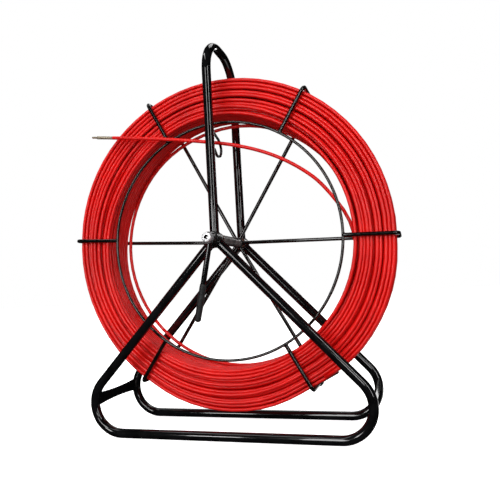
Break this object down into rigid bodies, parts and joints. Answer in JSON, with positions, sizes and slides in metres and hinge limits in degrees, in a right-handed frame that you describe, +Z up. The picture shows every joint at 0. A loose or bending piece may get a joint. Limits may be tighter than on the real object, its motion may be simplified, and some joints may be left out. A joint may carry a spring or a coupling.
{
  "type": "fish tape reel",
  "caption": "Free-standing cage reel of stiff push rod: wire drum on a bolted axle in a bent-tube stand with a carry handle, a brake lever and a guide eye.",
  "frame": {"origin": "on the floor under the middle of the axle", "axes": "+Z up, +Y from the front of the reel to the rear along the axle, +X to the right seen from the front"},
  "size_m": [0.4818, 0.1784, 0.5584],
  "materials": {
    "black_enamel": "gloss black stoved enamel",
    "hub_coating": "worn dark enamel",
    "zinc_steel": "bright zinc plate",
    "fibre": "matt vulcanised fibre",
    "bronze": "sintered bronze",
    "grip_rubber": "matt black rubber",
    "clip_plastic": "matt black nylon",
    "rod_sheath": "smooth glossy sheath",
    "tip_brass": "pale turned brass"
  },
  "bodies": {
    "stand": {"front_side_frame": "black_enamel", "rear_side_frame": "black_enamel", "handle": "black_enamel", "front_axle_boss": "black_enamel", "rear_axle_boss": "black_enamel", "left_cross_strap": "black_enamel", "right_cross_strap": "black_enamel", "guide_eye": "black_enamel", "axle_bolt": "zinc_steel", "axle_nut": "zinc_steel", "axle_washers": "zinc_steel", "friction_discs": "fibre", "free_rod_end": "rod_sheath", "tip_ferrule": "tip_brass"},
    "drum": {"hub_tube": "hub_coating", "hub_bushings": "bronze", "front_ring": "black_enamel", "rod_coil": "rod_sheath", "tail_clip": "clip_plastic", "cage_wire_1": "black_enamel", "cage_wire_2": "black_enamel", "cage_wire_3": "black_enamel", "cage_wire_4": "black_enamel", "cage_wire_5": "black_enamel", "cage_wire_6": "black_enamel"},
    "brake_lever": {"brake_collar": "black_enamel", "brake_rod": "black_enamel", "brake_grip": "grip_rubber"}
  },
  "joints": [
    {"name": "drum_spin", "type": "hinge", "parent": "stand", "child": "drum", "pos_m": [0, 0, 0.269], "axis": [0, 1, 0], "continuous": true},
    {"name": "brake_turn", "type": "hinge", "parent": "stand", "child": "brake_lever", "pos_m": [0, 0, 0.269], "axis": [0, 1, 0], "range_deg": [-60, 60]}
  ]
}
